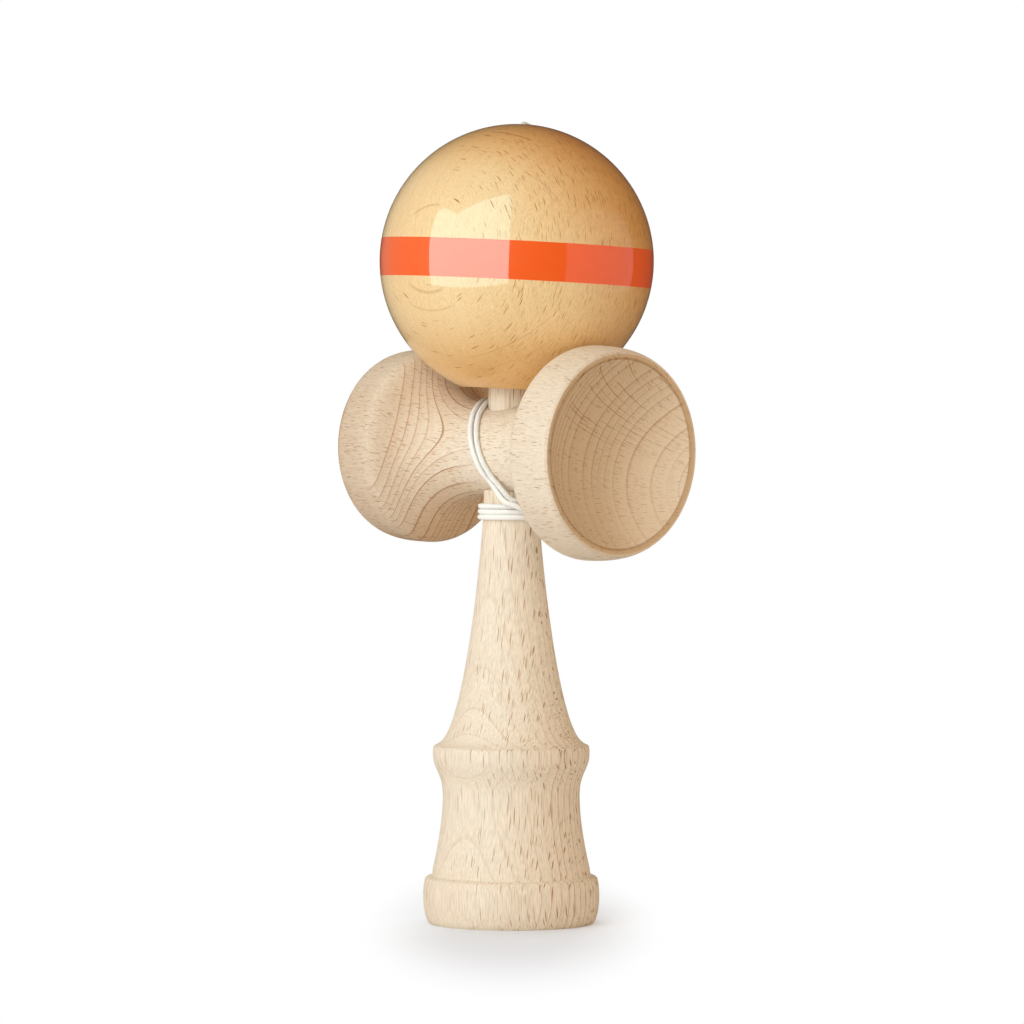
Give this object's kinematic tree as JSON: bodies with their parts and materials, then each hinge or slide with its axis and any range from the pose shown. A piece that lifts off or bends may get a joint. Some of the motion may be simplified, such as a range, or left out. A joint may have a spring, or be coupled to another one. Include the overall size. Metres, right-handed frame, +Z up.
{
  "type": "kendama",
  "caption": "Wooden ball-and-cup skill toy: a turned handle with a spike and a two-cup crosspiece, and a bored, banded ball resting on the spike, tied on by a string.",
  "frame": {"origin": "centre of the foot's standing face, on the ken's axis", "axes": "+Z up along the ken towards the tip of the spike, +X from the ken's axis towards the big cup, +Y away from the winding's front side"},
  "size_m": [0.071, 0.0617, 0.176],
  "materials": {
    "beech": "raw, sanded",
    "varnished_beech": "gloss varnish",
    "band_paint": "gloss paint under varnish",
    "bead_wood": "satin",
    "cord": "matt twisted cord"
  },
  "bodies": {
    "ken": {"ken": "beech", "crosspiece": "beech", "anchor_knot": "cord", "string_anchor": "cord", "string_winding": "cord", "string_tail": "cord"},
    "string_end": {"bead": "bead_wood", "bead_knot": "cord", "string_in_ball": "cord"},
    "ball": {"ball": "varnished_beech", "paint_band": "band_paint"}
  },
  "joints": [
    {"name": "ball_lift", "type": "slide", "parent": "ken", "child": "string_end", "axis": [0.0327, 0.0363, 0.9988], "range_m": [0, 0.044], "deforming": ["string_tail"]},
    {"name": "ball_spin", "type": "hinge", "parent": "string_end", "child": "ball", "pos_m": [0.0008, 0.00089, 0.14494], "axis": [0.0327, 0.0363, 0.9988], "continuous": true}
  ]
}
